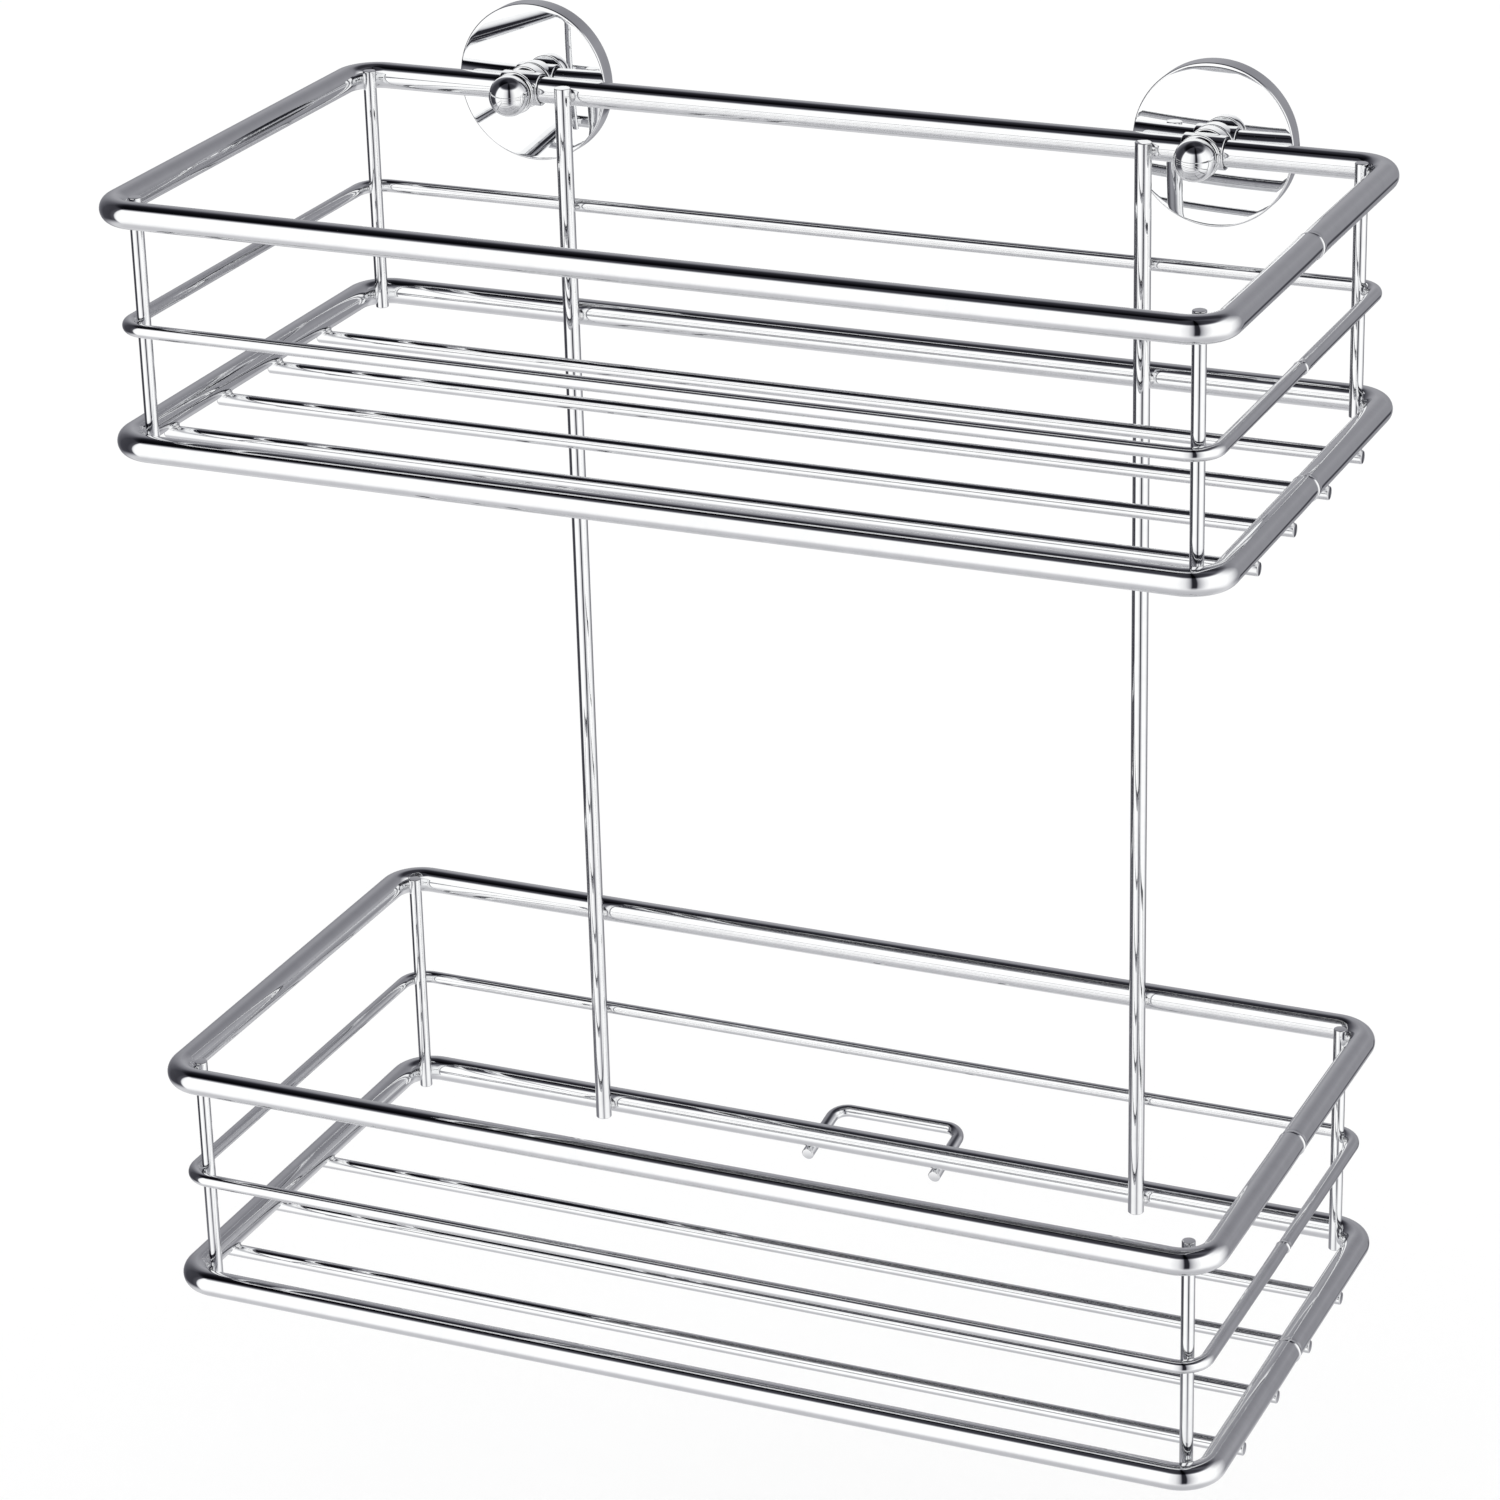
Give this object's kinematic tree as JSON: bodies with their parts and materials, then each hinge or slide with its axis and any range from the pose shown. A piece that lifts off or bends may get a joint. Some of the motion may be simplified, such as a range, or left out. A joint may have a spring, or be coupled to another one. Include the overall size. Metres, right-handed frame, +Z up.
{
  "type": "shower caddy",
  "caption": "Two-tier chromed wire shower caddy with a tall gap between its baskets, hung from wall discs that swivel on its top rail.",
  "frame": {"origin": "on the wall plane behind the two cover discs, midway between them, at the height of the upper top rail", "axes": "+X to the viewer's right, +Y into the wall, +Z up"},
  "size_m": [0.2558, 0.1414, 0.2835],
  "materials": {
    "rail_chrome": "bright chrome plate on bent steel wire",
    "wire_chrome": "bright chrome plate on thin steel wire",
    "disc_chrome": "mirror chrome plate on a pressed disc",
    "fitting_chrome": "mirror chrome plate on turned and cast fittings",
    "screw_steel": "plain zinc-plated steel",
    "base_plastic": "moulded, fine grain",
    "pad_foam": "white self-adhesive foam"
  },
  "bodies": {
    "frame": {"upper_top_rail": "rail_chrome", "upper_middle_rail": "rail_chrome", "upper_bottom_rail": "rail_chrome", "upper_upright_front_left": "wire_chrome", "upper_upright_front_right": "wire_chrome", "upper_upright_back_left": "wire_chrome", "upper_upright_back_right": "wire_chrome", "upper_floor_wire_1": "wire_chrome", "upper_floor_wire_2": "wire_chrome", "upper_floor_wire_3": "wire_chrome", "upper_floor_wire_4": "wire_chrome", "lower_top_rail": "rail_chrome", "lower_middle_rail": "rail_chrome", "lower_bottom_rail": "rail_chrome", "lower_upright_front_left": "wire_chrome", "lower_upright_front_right": "wire_chrome", "lower_upright_back_left": "wire_chrome", "lower_upright_back_right": "wire_chrome", "lower_floor_wire_1": "wire_chrome", "lower_floor_wire_2": "wire_chrome", "lower_floor_wire_3": "wire_chrome", "lower_floor_wire_4": "wire_chrome", "hanger_left": "wire_chrome", "hanger_right": "wire_chrome", "wall_spacer": "wire_chrome"},
    "left_mount": {"left_clamp_eye": "fitting_chrome", "left_knob_collar": "fitting_chrome", "left_cover_disc": "disc_chrome", "left_base_plate": "base_plastic", "left_base_screw": "screw_steel", "left_wall_pad": "pad_foam"},
    "left_knob": {"left_ball_knob": "fitting_chrome"},
    "right_mount": {"right_clamp_eye": "fitting_chrome", "right_knob_collar": "fitting_chrome", "right_cover_disc": "disc_chrome", "right_base_plate": "base_plastic", "right_base_screw": "screw_steel", "right_wall_pad": "pad_foam"},
    "right_knob": {"right_ball_knob": "fitting_chrome"}
  },
  "joints": [
    {"name": "left_swivel", "type": "hinge", "parent": "frame", "child": "left_mount", "pos_m": [-0.0825, -0.0093, 0], "axis": [1, 0, 0], "range_deg": [-28, 100]},
    {"name": "left_knob_turn", "type": "hinge", "parent": "left_mount", "child": "left_knob", "pos_m": [-0.0825, -0.0167, 0], "axis": [0, -1, 0], "range_deg": [0, 360]},
    {"name": "right_swivel", "type": "hinge", "parent": "frame", "child": "right_mount", "pos_m": [0.0825, -0.0093, 0], "axis": [1, 0, 0], "range_deg": [-28, 100]},
    {"name": "right_knob_turn", "type": "hinge", "parent": "right_mount", "child": "right_knob", "pos_m": [0.0825, -0.0167, 0], "axis": [0, -1, 0], "range_deg": [0, 360]}
  ]
}
